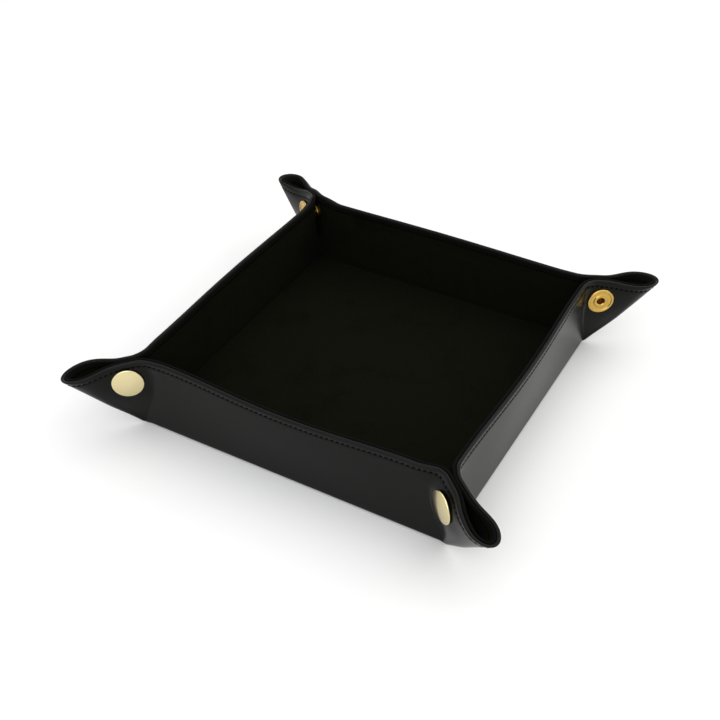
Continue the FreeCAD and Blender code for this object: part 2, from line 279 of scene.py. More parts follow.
class HalfEar:
    """One wall's half of an ear, in plan axes: s outwards along it, w away from its mid-plane."""

    SEGMENTS = (("wall", 5), ("crease", 9), ("seat", 9), ("flare", 9), ("loop", 13))

    def __init__(self, sheet, corner, holder):
        sign_x, sign_y = CORNERS[corner]
        lean = math.pi / 4 - sheet.swing
        side = -1 if holder == "stud" else 1
        self.sheet = sheet
        self.name = corner + "_" + holder + "_ear"
        self.root = np.array([sign_x * sheet.half, sign_y * sheet.half, 0.0])
        self.along = np.array([sign_x * math.cos(lean), sign_y * math.sin(lean), 0.0])
        self.away = side * np.array([-sign_x * math.sin(lean), sign_y * math.cos(lean), 0.0])
        self.turn = math.pi / 2 - lean if holder == "stud" else lean
        self.cos_turn = math.cos(self.turn)
        self.sin_turn = math.sin(self.turn)
        self.loop = sheet.loop * LOOP_SIZE[corner]
        self.long = LOOP_LENGTH[corner]
        self.lift = EAR_LIFT[corner]
        self.reach = EAR_REACH[corner]
        self.rise = NECK_RISE[corner]
        self.curl = -side * EAR_CURL[corner]
        self.shift = -side * EAR_SHIFT[corner]

    def place(self, s, w, z):
        """A point in space: the rim leans a little aside, the tip curls, reaches out and lifts."""
        curl = self.curl * np.clip((s - CURL_FROM) / CURL_RUN, 0.0, TIP_OVERRUN) ** CURL_POWER
        far = np.clip((s - LIFT_FROM) / LIFT_RUN, 0.0, TIP_OVERRUN) ** 2
        high = (z / self.sheet.height) ** 2
        near = 1 - ease((s - SHIFT_FROM) / SHIFT_RUN)
        neck = near * self.sheet.top(z) * ease((s + WALL_RUN * self.cos_turn) / SEAM_RUN)
        w = w + curl + self.shift * neck
        s = s + self.reach * far * high
        z = z + self.lift * far * high + self.rise * neck
        return self.root + s[..., None] * self.along + w[..., None] * self.away + z[..., None] * UP

    def wall_point(self, t, q, z):
        """A point by its distance t beyond the tray's corner along the wall and q out from it."""
        s = np.asarray(t * self.cos_turn + q * self.sin_turn)
        w = np.asarray(-t * self.sin_turn + q * self.cos_turn)
        return self.place(s, w, np.asarray(z, dtype=float))

    def measures(self, z):
        """The section's measures at height z: seat, crease bend and loop."""
        sheet = self.sheet
        seat = sheet.foot + (sheet.stack + sheet.gap - sheet.foot) * ease(z / PINCH_FROM)
        seat = seat - (sheet.gap - RIM_HALF_GAP) * sheet.top(z)
        opening = np.clip(z / sheet.height, 0.0, 1.0) ** CREASE_POWER
        bend = CREASE_RADIUS_FOOT + (CREASE_RADIUS - CREASE_RADIUS_FOOT) * opening
        bend_w = seat + bend
        bend_s = (bend - bend_w * self.cos_turn) / self.sin_turn
        growth = np.clip(z / LOOP_TOP, 0.0, LOOP_OVERRUN) ** LOOP_GROWTH
        radius = sheet.foot + (self.loop - sheet.foot) * growth
        tip_in = sheet.stack / 2 / math.cos(sheet.lean)
        tip = z * math.tan(sheet.lean) + tip_in * ease(z / TIP_FROM)
        # a loop that would reach back over the flat seat is made smaller, then placed again
        for limit in (LOOP_LIMIT, np.inf):
            centre = tip - radius * self.long
            flat = np.minimum(SEAT_FLAT, bend_s + SEAT_SHARE * (centre - bend_s))
            run = (centre - flat) / self.long
            radius = np.minimum(radius, limit * np.hypot(run, seat))
        reach = np.minimum(radius / np.hypot(run, seat), 1.0)
        flare = np.arcsin(reach) - np.arctan2(seat, run)
        return seat, bend, bend_s, bend_w, radius, centre, flat, flare

    def outer(self, segment, share, z):
        """Plan position and normal of the leather's outer face, share along one segment."""
        seat, bend, bend_s, bend_w, radius, centre, flat, flare = self.measures(z)
        zero = np.zeros_like(z)
        if segment == "wall":
            a_s, a_w = -WALL_RUN * self.cos_turn, WALL_RUN * self.sin_turn
            b_s, b_w = bend_s - bend * self.sin_turn, bend_w - bend * self.cos_turn
            return (a_s + (b_s - a_s) * share, a_w + (b_w - a_w) * share,
                    zero + self.sin_turn, zero + self.cos_turn)
        if segment == "crease":
            angle = self.turn * (1 - share)
            n_s, n_w = np.sin(angle), np.cos(angle)
            return bend_s - bend * n_s, bend_w - bend * n_w, n_s + zero, n_w + zero
        if segment == "seat":
            return bend_s + (flat - bend_s) * share, seat + zero, zero, zero + 1.0
        if segment == "flare":
            return self.flare_outer(share, seat, radius, centre, flat, flare)
        angle = (math.pi / 2 + flare) * (1 - share)
        n_s, n_w = np.cos(angle) / self.long, np.sin(angle)
        length = np.hypot(n_s, n_w)
        s = centre + self.long * radius * np.cos(angle)
        return s, radius * np.sin(angle), n_s / length, n_w / length

    def flare_outer(self, share, seat, radius, centre, flat, flare):
        """A cubic from the end of the flat seat to the start of the loop's arc, with its normal."""
        b_s = centre - self.long * radius * np.sin(flare)
        b_w = radius * np.cos(flare)
        end_s, end_w = self.long * np.cos(flare), np.sin(flare)
        chord = np.hypot(b_s - flat, b_w - seat)
        pull = chord / np.hypot(end_s, end_w)
        h00 = 2 * share ** 3 - 3 * share ** 2 + 1
        h10 = share ** 3 - 2 * share ** 2 + share
        h01 = 1 - h00
        h11 = share ** 3 - share ** 2
        s = h00 * flat + h10 * chord + h01 * b_s + h11 * pull * end_s
        w = h00 * seat + h01 * b_w + h11 * pull * end_w
        d00 = 6 * share ** 2 - 6 * share
        d10 = 3 * share ** 2 - 4 * share + 1
        d11 = 3 * share ** 2 - 2 * share
        t_s = d00 * (flat - b_s) + d10 * chord + d11 * pull * end_s
        t_w = d00 * (seat - b_w) + d11 * pull * end_w
        length = np.maximum(np.hypot(t_s, t_w), 1e-9)
        return s, w, -t_w / length, t_s / length

    def columns(self):
        """Columns from the wall to the tip, each as (segment, share)."""
        found = []
        for segment, count in self.SEGMENTS:
            found += [(segment, k / count) for k in range(count)]
        return found + [("loop", 1.0)]

    def rim_height(self, segment, share):
        """Height at which a column meets the rim, and the cosine of the column's lean there."""
        def out(z):
            return float(self.outer(segment, share, np.array(z))[0])

        low, high = SEARCH_FROM, self.sheet.height + SEARCH_ABOVE
        for _ in range(SEARCH_STEPS):
            middle = (low + high) / 2
            if middle < self.sheet.rim(np.array(out(middle))):
                low = middle
            else:
                high = middle
        return low, math.cos(math.atan(out(low) - out(low - 1.0)))

    def crease_at_rim(self):
        """Distance beyond the tray's corner, along the wall, of the crease's middle at the rim."""
        s, w, _, _ = self.outer("crease", 0.5, np.array(self.sheet.height))
        return float(s) * self.cos_turn - float(w) * self.sin_turn

    def loop_point(self, share, z):
        """A point of the loop's outer face, share along it from the seat to the tip."""
        s, w, _, _ = self.outer("loop", share, np.array(z))
        return self.place(np.asarray(s), np.asarray(w), np.asarray(z))


def skin_rows(sheet, lined):
    """Rows of a skin as (kind, height or distance from the rim, depth inside the outer face)."""
    lift, tucks, fold, count = LINING_ROWS if lined else LEATHER_ROWS
    face = sheet.stack if lined else 0.0
    inwards = -1 if lined else 1
    floor = face + lift
    rows = [("strip", floor, face + tuck) for tuck in tucks]
    for k in range(FOLD_STEPS + 1):
        angle = math.pi / 2 * k / FOLD_STEPS
        height = floor + fold * (1 - math.cos(angle))
        rows.append(("foot", height, face + fold * (1 - math.sin(angle))))
    rows += [("face", k / count, face) for k in range(1, count + 1)]
    # the sewing pulls in a groove under the rim
    for distance in BORDER_ROWS:
        groove = GROOVE_DEPTH * math.exp(-((distance - sheet.inset) / GROOVE_WIDTH) ** 2)
        rows.append(("rim", distance, face + inwards * groove))
    bead = (sheet.stack - sheet.leather if lined else sheet.leather) / 2
    for k in range(1, BEAD_STEPS + 1):
        angle = math.pi * k / BEAD_STEPS
        depth = face + inwards * (bead * (1 - math.cos(angle)))
        rows.append(("rim", bead * (1 - math.sin(angle)), depth))
    rows.append(("rim", RIM_TUCK, sheet.leather))
    return rows


class WallGrid:
    """Grid of one skin of a wall and of the two half ears at its ends, from tip to tip."""

    WALL_COLUMNS = 56

    def __init__(self, sheet, wall, rows, lined):
        outward, first, last = WALLS[wall]
        holder = "cap" if outward[0] == 0 else "stud"
        self.sheet = sheet
        self.rows = rows
        self.lined = lined
        self.dip = RIM_DIP[wall]
        self.outward = np.array([outward[0], outward[1], 0.0])
        self.run = np.array([-outward[1], outward[0], 0.0])
        self.first = HalfEar(sheet, first, holder)
        self.last = HalfEar(sheet, last, holder)
        columns = self.last.columns()
        left = [self.ear_column(self.first, *c) for c in reversed(columns)]
        places = np.linspace(-sheet.reach, sheet.reach, self.WALL_COLUMNS + 1)[1:-1]
        middle = [self.wall_column(x) for x in places]
        right = [self.ear_column(self.last, *c) for c in columns]
        self.points = np.array(left + middle + right)
        count = len(columns)
        loop = HalfEar.SEGMENTS[-1][1]
        total = len(self.points)
        self.cuts = {
            "first_loop": (0, loop),
            "first_ear": (loop, count - 1),
            "wall": (count - 1, total - count),
            "last_ear": (total - count, total - 1 - loop),
            "last_loop": (total - 1 - loop, total - 1),
        }
        self.normals = self.vertex_normals()

    def swell(self, x):
        """Share of the wall's bow and dip at a place: nothing at its ends, all at mid-length."""
        return np.clip(1 - (x / self.sheet.reach) ** 2, 0, 1) ** 2

    def bow(self, x, z):
        """How far the wall stands out from its plane."""
        return self.sheet.bow * self.swell(x) * ease(z / self.sheet.height)

    def ridge(self, x, z):
        """How far the board under the lining lifts it."""
        along = ease((self.sheet.reach - abs(x)) / RIDGE_END_RUN)
        foot = ease((z - RIDGE_FOOT) / RIDGE_FOOT_RUN)
        return RIDGE * along * foot * ease((BOARD_TOP + RIDGE_ABOVE_BOARD - z) / RIDGE_TOP_RUN)

    def row_place(self, row, rim, lean, strip):
        """Height and depth of one row on a column."""
        kind, value, depth = row
        if kind == "strip":
            return value, depth if strip else (self.sheet.stack if self.lined else FOLD_ROUND)
        if kind == "foot":
            return value, depth
        if kind == "face":
            foot = self.sheet.stack + INNER_FOLD if self.lined else FOLD_ROUND
            top = rim - BORDER * lean
            return foot + (top - foot) * value, depth
        return rim - value * lean, depth

    def row_places(self, rim, lean, strip):
        """Heights and depths of all the rows on a column."""
        return np.array([self.row_place(row, rim, lean, strip) for row in self.rows]).T

    def ear_column(self, half, segment, share):
        rim, lean = half.rim_height(segment, share)
        z, depth = self.row_places(rim, lean, False)
        s, w, n_s, n_w = half.outer(segment, share, z)
        inside = np.maximum(w - depth * n_w, np.minimum(w, MID_CLEARANCE))
        return half.place(s - depth * n_s, inside, z)

    def wall_column(self, x):
        rim = self.sheet.height - self.dip * float(self.swell(x))
        z, depth = self.row_places(rim, 1.0, True)
        out = self.sheet.half + self.bow(x, z) - depth
        if self.lined:
            out -= self.ridge(x, z)
        return out[:, None] * self.outward + x * self.run + z[:, None] * UP

    def vertex_normals(self):
        """Normals over the whole grid, so that the pieces cut from it meet without a seam."""
        p = self.points
        across = np.cross(p[1:, :-1] - p[:-1, :-1], p[:-1, 1:] - p[:-1, :-1])
        across += np.cross(p[1:, 1:] - p[:-1, 1:], p[1:, 1:] - p[1:, :-1])
        total = np.zeros_like(p)
        total[:-1, :-1] += across
        total[1:, :-1] += across
        total[:-1, 1:] += across
        total[1:, 1:] += across
        for index, half in ((0, self.first), (-1, self.last)):
            total[index] -= np.outer(total[index] @ half.away, half.away)
        length = np.maximum(np.linalg.norm(total, axis=2), 1e-12)
        return total / length[..., None]

    def piece(self, name, cut, material, eyelet=None):
        """One piece of the grid; a half ear that holds an eyelet has the eyelet's hole cut out."""
        start, end = self.cuts[cut]
        points = self.points[start:end + 1]
        keep = None
        if eyelet is not None:
            out = (points - eyelet.root) @ eyelet.along - SNAP_OUT
            keep = np.hypot(out, points[..., 2] - SNAP_HEIGHT) > HOLE_RADIUS
        piece = grid_object(name, points, material, self.normals[start:end + 1], keep)
        if self.lined:
            self.paint_edge(piece)
        return piece

    def paint_edge(self, piece):
        """Gives the cut edge of the lining its black edge paint."""
        edge = next(k for k, row in enumerate(self.rows) if row[:2] == ("rim", BORDER_ROWS[-1]))
        piece.data.materials.append(edge_material())
        for face in piece.data.polygons:
            if min(v % len(self.rows) for v in face.vertices) >= edge:
                face.material_index = 1

    def line(self, distance, depth):
        """Points and normals along the rim, a distance under it and a depth inside it."""
        index = min(
            (k for k, row in enumerate(self.rows) if row[0] == "rim"),
            key=lambda k: abs(self.rows[k][1] - distance) + abs(self.rows[k][2] - depth),
        )
        return self.points[:, index], self.normals[:, index]


def grids(lined):
    """The four walls' grids of one skin."""
    sheet = Sheet()
    rows = skin_rows(sheet, lined)
    return {wall: WallGrid(sheet, wall, rows, lined) for wall in WALLS}


def vertex_grid(points):
    """Numbers of a grid's vertices, and the quads between them."""
    columns, rows = points.shape[:2]
    index = np.arange(columns * rows).reshape(columns, rows)
    corners = [index[:-1, :-1], index[1:, :-1], index[1:, 1:], index[:-1, 1:]]
    return index, np.stack(corners, axis=-1).reshape(-1, 4)


def grid_object(name, points, material, normals=None, keep=None):
    """A mesh from a grid of points; where points aren't kept, the faces at them are left out."""
    _, faces = vertex_grid(points)
    if keep is not None:
        faces = faces[keep.reshape(-1)[faces].all(axis=1)]
    if normals is not None:
        normals = normals.reshape(-1, 3)
    return mesh_object(name, points.reshape(-1, 3), faces.tolist(), material, normals)


def mesh_object(name, points, faces, material, normals=None):
    mesh = bpy.data.meshes.new(name)
    mesh.from_pydata((np.asarray(points) * MM).tolist(), [], faces)
    mesh.validate()
    mesh.shade_smooth()
    mesh.materials.append(material)
    if normals is not None:
        mesh.normals_split_custom_set_from_vertices(normals.tolist())
    piece = bpy.data.objects.new(name, mesh)
    bpy.context.scene.collection.objects.link(piece)
    return piece


def metres(point):
    return tuple(float(v) * MM for v in point)


def bend_at_fold(piece):
    """Bakes the piece's placement into its mesh; the foot of a wall, bending from the bottom to the
    wall, is drawn in the piece itself.
    """
    half = Sheet().half
    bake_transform(piece)


def bend_at_crease(piece, half_ear):
    """Bakes the piece's placement into its mesh. The line along which an ear would bend out of its
    wall, leaning back from the tray's corner, is worked out but not used.
    """
    top = half_ear.crease_at_rim()
    height = half_ear.sheet.height
    line = np.array([top + CREASE_AT_FOOT, 0.0, height])
    line /= np.linalg.norm(line)
    across = np.array([line[2], 0.0, -line[0]])
    middle = np.array([(top - CREASE_AT_FOOT) / 2, 0.0, height / 2])
    start = half_ear.wall_point(*(middle - CREASE_SPREAD * across))
    end = half_ear.wall_point(*(middle + CREASE_SPREAD * across))
    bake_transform(piece)


def bend_at_loop(piece, half_ear):
    """Bakes the piece's placement into its mesh. The axis on which the loop would uncurl from its
    seat to the ear's tip line is worked out but not used.
    """
    at = half_ear.loop_point
    low, middle, high = LOOP_HEIGHTS
    rise = (at(0.0, high) - at(0.0, low)) + (at(1.0, high) - at(1.0, low))
    rise /= np.linalg.norm(rise)
    start = at(0.0, middle)
    across = at(1.0, middle) - start
    across -= rise * (across @ rise)
    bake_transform(piece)


# finishes
FIBREBOARD = (0.25, 0.18, 0.11)
STEEL = (0.5, 0.5, 0.5)
METAL_SPREAD = (0.85, 1.2)
CELL_SHARE = 0.35
SPECKLE_SHARE = 0.45
MASK_LOW = 0.3
MASK_HIGH = 0.7
BUMP_DISTANCE = 0.0003
SUEDE_DARK = 0.45
SUEDE_LIGHT = 1.9


def set_inputs(node, **values):
    """Sets a node's sockets; an underscore stands for a blank in a socket's name."""
    for label, value in values.items():
        node.inputs[label.replace("_", " ")].default_value = value


def add_node(tree, kind, **values):
    node = tree.nodes.new(kind)
    set_inputs(node, **values)
    return node


def add_math(tree, operation):
    node = tree.nodes.new("ShaderNodeMath")
    node.operation = operation
    return node


def new_group(name, inputs, outputs):
    """An empty node group, with the nodes for its inputs and outputs."""
    group = bpy.data.node_groups.new(name, "ShaderNodeTree")
    for label, value in inputs.items():
        socket = group.interface.new_socket(
            label, in_out="INPUT", socket_type="NodeSocketFloat")
        socket.default_value = value
    for label in outputs:
        group.interface.new_socket(label, in_out="OUTPUT", socket_type="NodeSocketFloat")
    return group, group.nodes.new("NodeGroupInput"), group.nodes.new("NodeGroupOutput")


def link_textures(group, inside, textures):
    """Lays textures on the object, each at the scale that one of the group's inputs gives."""
    place = add_node(group, "ShaderNodeTexCoord")
    for texture, scale in textures:
        group.links.new(place.outputs["Object"], texture.inputs["Vector"])
        group.links.new(inside.outputs[scale], texture.inputs["Scale"])


def grain_group():
    """Fine pebbled grain with slow waviness: a height and a roughness mask."""
    if "grain" in bpy.data.node_groups:
        return bpy.data.node_groups["grain"]
    group, inside, outside = new_group(
        "grain", {"Cells": 1500.0, "Waves": 90.0, "Wave share": 0.5}, ("Height", "Mask"))
    links = group.links
    cells = add_node(group, "ShaderNodeTexVoronoi")
    cells.feature = "SMOOTH_F1"
    set_inputs(cells, Smoothness=0.6)
    fine = add_node(group, "ShaderNodeTexNoise", Detail=4.0)
    waves = add_node(group, "ShaderNodeTexNoise", Detail=2.0)
    link_textures(group, inside, ((cells, "Cells"), (fine, "Cells"), (waves, "Waves")))
    scaled = add_math(group, "MULTIPLY")
    links.new(waves.outputs["Fac"], scaled.inputs[0])
    links.new(inside.outputs["Wave share"], scaled.inputs[1])
    joined = add_math(group, "MULTIPLY_ADD")
    links.new(cells.outputs["Distance"], joined.inputs[0])
    joined.inputs[1].default_value = CELL_SHARE
    links.new(scaled.outputs["Value"], joined.inputs[2])
    links.new(joined.outputs["Value"], outside.inputs["Height"])
    links.new(fine.outputs["Fac"], outside.inputs["Mask"])
    return group


def nap_group():
    """Brushed nap: cloudy patches with fine speckle, as a shade and a height."""
    if "nap" in bpy.data.node_groups:
        return bpy.data.node_groups["nap"]
    group, inside, outside = new_group(
        "nap", {"Clouds": 45.0, "Speckle": 1400.0}, ("Shade", "Height"))
    links = group.links
    clouds = add_node(group, "ShaderNodeTexNoise", Detail=6.0, Roughness=0.62)
    speckle = add_node(group, "ShaderNodeTexNoise", Detail=3.0)
    link_textures(group, inside, ((clouds, "Clouds"), (speckle, "Speckle")))
    mixed = add_math(group, "MULTIPLY_ADD")
    links.new(speckle.outputs["Fac"], mixed.inputs[0])
    mixed.inputs[1].default_value = SPECKLE_SHARE
    links.new(clouds.outputs["Fac"], mixed.inputs[2])
    links.new(mixed.outputs["Value"], outside.inputs["Shade"])
    links.new(speckle.outputs["Fac"], outside.inputs["Height"])
    return group


def new_material(name):
    """A material with its Principled BSDF, or the one already made."""
    if name in bpy.data.materials:
        return bpy.data.materials[name], None
    material = bpy.data.materials.new(name)
    material.use_nodes = True
    return material, material.node_tree.nodes["Principled BSDF"]


def add_group(material, group, **values):
    node = material.node_tree.nodes.new("ShaderNodeGroup")
    node.node_tree = group
    set_inputs(node, **values)
    return node


def add_bump(material, shader, height, strength):
    tree = material.node_tree
    bump = add_node(tree, "ShaderNodeBump", Strength=strength, Distance=BUMP_DISTANCE)
    tree.links.new(height, bump.inputs["Height"])
    tree.links.new(bump.outputs["Normal"], shader.inputs["Normal"])


def add_range(material, mask, low, high, socket):
    """Drives a socket between low and high by a mask."""
    tree = material.node_tree
    node = add_node(tree, "ShaderNodeMapRange", From_Min=MASK_LOW, From_Max=MASK_HIGH,
                    To_Min=low, To_Max=high)
    tree.links.new(mask, node.inputs["Value"])
    tree.links.new(node.outputs["Result"], socket)


def shade(colour, share):
    return tuple(c * share for c in colour)


def plain_material(name, colour, **values):
    """An even finish."""
    material, shader = new_material(name)
    if shader is not None:
        set_inputs(shader, Base_Color=(*colour, 1), **values)
    return material


def grained_material(name, colour, ior, grain_values, bump, roughness):
    """A finish with grain, as a bump and as a roughness between two values."""
    material, shader = new_material(name)
    if shader is not None:
        set_inputs(shader, Base_Color=(*colour, 1), IOR=ior)
        grain = add_group(material, grain_group(), **grain_values)
        add_bump(material, shader, grain.outputs["Height"], bump)
        add_range(material, grain.outputs["Mask"], *roughness, shader.inputs["Roughness"])
    return material


def leather_material():
    grain = {"Cells": 1300.0, "Waves": 70.0, "Wave_share": 0.6}
    return grained_material(
        "glossy black leather", finishes().leather, 1.2, grain, 0.07, (0.18, 0.28))


def edge_material():
    grain = {"Cells": 900.0, "Waves": 120.0, "Wave_share": 0.8}
    return grained_material(
        "black edge paint", shade(finishes().thread, 0.6), 1.1, grain, 0.2, (0.5, 0.7))


def suede_material():
    material, shader = new_material("black suede")
    if shader is None:
        return material
    colour = finishes().suede
    set_inputs(shader, Roughness=1.0, IOR=1.12, Sheen_Weight=0.006, Sheen_Roughness=0.45,
               Sheen_Tint=(0.9, 0.9, 0.75, 1))
    nap = add_group(material, nap_group())
    ramp = material.node_tree.nodes.new("ShaderNodeMix")
    ramp.data_type = "RGBA"
    set_inputs(ramp, A=(*shade(colour, SUEDE_DARK), 1), B=(*shade(colour, SUEDE_LIGHT), 1))
    add_range(material, nap.outputs["Shade"], 0.0, 1.0, ramp.inputs["Factor"])
    material.node_tree.links.new(ramp.outputs["Result"], shader.inputs["Base Color"])
    add_bump(material, shader, nap.outputs["Height"], 0.5)
    return material


def thread_material():
    return plain_material(
        "black thread", shade(finishes().thread, 1 / 4), Roughness=0.8, IOR=1.12)


def dull_thread_material():
    return plain_material(
        "black thread in the nap", shade(finishes().thread, 1 / 3), Roughness=1.0, IOR=1.08)


def board_material():
    return plain_material("fibreboard", FIBREBOARD, Roughness=0.9)


def metal_material(name, colour, roughness):
    material, shader = new_material(name)
    if shader is not None:
        set_inputs(shader, Base_Color=(*colour, 1), Metallic=1.0)
        grain = add_group(material, grain_group(), Cells=4000.0)
        low, high = (roughness * share for share in METAL_SPREAD)
        add_range(material, grain.outputs["Mask"], low, high, shader.inputs["Roughness"])
    return material


# lined or not: name of the skin, slot and finish
SKINS = {
    False: ("leather", "black_leather", leather_material),
    True: ("lining", "black_suede", suede_material),
}


def slab_with_tabs(name, side, tab, z_low, z_high, material):
    """A flat square slab with a short tab at each corner that runs into the ear."""
    sheet = Sheet()
    tab_out, tab_half = tab
    outline = []
    for corner, (sign_x, sign_y) in CORNERS.items():
        half = HalfEar(sheet, corner, "cap")
        end = half.root + half.along * tab_out
        outline += [
            np.array([sign_x * (side - BOTTOM_CUT), sign_y * side, 0]),
            end + half.away * tab_half,
            end - half.away * tab_half,
            np.array([sign_x * side, sign_y * (side - BOTTOM_CUT), 0]),
        ]
    outline.sort(key=lambda p: math.atan2(p[1], p[0]))
    count = len(outline)
    low = [p + z_low * UP for p in outline]
    high = [p + z_high * UP for p in outline]
    faces = [list(range(count))[::-1], list(range(count, 2 * count))]
    faces += [[k, (k + 1) % count, count + (k + 1) % count, count + k] for k in range(count)]
    piece = mesh_object(name, np.array(low + high), faces, material)
    piece.data.shade_flat()
    return piece


class TRAY_OT_bottom(bpy.types.Operator):
    """Bottom of the tray: leather below, suede floor above."""

    bl_idname = "tray.bottom"
    bl_label = "Bottom"

    def execute(self, context):
        sheet = Sheet()
        leather = slab_with_tabs(
            "bottom_leather", sheet.half - FOLD_ROUND - BOTTOM_CLEARANCE, LEATHER_TAB,
            0.0, sheet.leather, leather_material())
        floor = slab_with_tabs(
            "bottom_lining", sheet.half - sheet.stack - BOTTOM_CLEARANCE, LINING_TAB,
            sheet.leather + BOTTOM_BOARD, sheet.stack, suede_material())
        for piece, node, slot in (
                (leather, "base_leather", "black_leather"),
                (floor, "base_lining", "black_suede")):
            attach(piece, "base")
            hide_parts(node)
        return {"FINISHED"}


class TRAY_OT_walls(bpy.types.Operator):
    """Walls: leather, suede and the board between them."""

    bl_idname = "tray.walls"
    bl_label = "Walls"

    def execute(self, context):
        for lined, (skin, slot, material) in SKINS.items():
            for wall, grid in grids(lined).items():
                piece = grid.piece(wall + "_wall_" + skin + "_skin", "wall", material())
                bend_at_fold(piece)
                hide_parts(wall + "_wall_" + skin)
                if not lined:
                    self.board(wall, grid)
        return {"FINISHED"}

    def board(self, wall, grid):
        """A thin board that follows the wall's bow."""
        sheet = grid.sheet
        outer, inner = (sheet.leather + depth for depth in BOARD_FACES)
        ring = [(outer, z) for z in BOARD_HEIGHTS] + [(inner, z) for z in reversed(BOARD_HEIGHTS)]
        columns = []
        for x in np.linspace(-sheet.reach, sheet.reach, BOARD_COLUMNS):
            column = []
            for depth, z in ring + ring[:1]:
                out = sheet.half + float(grid.bow(x, np.array(z))) - depth
                column.append(out * grid.outward + x * grid.run + z * UP)
            columns.append(column)
        points = np.array(columns)
        index, faces = vertex_grid(points)
        faces = faces.tolist() + [index[0, :-1].tolist(), index[-1, :-1][::-1].tolist()]
        piece = mesh_object(
            wall + "_wall_stiffener", points.reshape(-1, 3), faces, board_material())
        piece.data.shade_flat()
        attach(piece, wall + "_wall")
        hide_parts(wall + "_wall_board")


class TRAY_OT_corner_folds(bpy.types.Operator):
    """Corner folds: strips that carry the fold round the bottom on to the tray's corners."""

    bl_idname = "tray.corner_folds"
    bl_label = "Corner folds"

    def execute(self, context):
        for lined, (skin, slot, material) in SKINS.items():
            for wall, grid in grids(lined).items():
                for end, side in (("first", -1), ("last", 1)):
                    piece = grid_object(wall + "_wall_" + end + "_fold_" + skin,
                                        self.strip(grid, side), material())
                    bend_at_fold(piece)
        return {"FINISHED"}

    def strip(self, grid, side):
        """Points of one strip, a hair inside the skin that it backs."""
        sheet = grid.sheet
        hidden = -FOLD_BACKING if grid.lined else FOLD_BACKING
        low = [(value + hidden, depth + hidden)
               for kind, value, depth in grid.rows if kind in ("strip", "foot")]
        foot, depth = low[-1]
        places = np.array(low + [(foot + k * FOLD_STRIP / FOLD_STRIP_ROWS, depth)
                                 for k in range(1, FOLD_STRIP_ROWS + 1)])
        if grid.lined:
            end = sheet.half - sheet.stack - FOLD_BACKING + np.zeros(len(places))
        else:
            end = sheet.half - FOLD_BACKING - FOLD_MITRE * (places[:, 1] - FOLD_BACKING)
        out = (sheet.half - places[:, 1])[:, None] * grid.outward
        columns = []
        for share in np.linspace(0.0, 1.0, FOLD_STRIP_COLUMNS):
            x = side * (sheet.reach * (1 - share) + end * share)
            columns.append(out + x[:, None] * grid.run + places[:, :1] * UP)
        return np.array(columns)


class TRAY_OT_ears(bpy.types.Operator):
    """Ears: the two halves of each pinched corner, and the loops at their tips."""

    bl_idname = "tray.ears"
    bl_label = "Ears"

    def execute(self, context):
        for lined, (skin, slot, material) in SKINS.items():
            for wall, grid in grids(lined).items():
                for end, half in (("first", grid.first), ("last", grid.last)):
                    eyelet = half if "_stud_" in half.name else None
                    ear = grid.piece(
                        half.name + "_" + skin + "_skin", end + "_ear", material(), eyelet)
                    bend_at_crease(ear, half)
                    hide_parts(half.name + "_" + skin)
                    loop = grid.piece(
                        half.name + "_loop_" + skin + "_skin", end + "_loop", material())
                    bend_at_loop(loop, half)
                    if not lined:
                        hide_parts(half.name + "_loop")
        return {"FINISHED"}


def stitch(centre, tangent, normal, height):
    """Points and faces of one stitch: a plump grain of thread that dives in at both ends."""
    side = np.cross(normal, tangent)
    tangent = tangent * math.cos(STITCH_SLANT) + side * math.sin(STITCH_SLANT)
    side = np.cross(normal, tangent)
    points = []
    for k in range(STITCH_RINGS + 1):
        share = k / STITCH_RINGS * 2 - 1
        girth = STITCH_RADIUS * (1 - abs(share) ** 3) ** 0.5 + STITCH_END_RADIUS
        sink = STITCH_SINK * share ** 2
        middle = centre + tangent * (share * STITCH_LENGTH / 2) + normal * (height - sink)
        for m in range(STITCH_SIDES):
            angle = 2 * math.pi * m / STITCH_SIDES
            across = side * (girth * math.cos(angle))
            points.append(middle + across + normal * (girth * math.sin(angle)))
    faces = []
    for k in range(STITCH_RINGS):
        for m in range(STITCH_SIDES):
            a = k * STITCH_SIDES + m
            b = k * STITCH_SIDES + (m + 1) % STITCH_SIDES
            faces.append([a, b, b + STITCH_SIDES, a + STITCH_SIDES])
    return points, faces


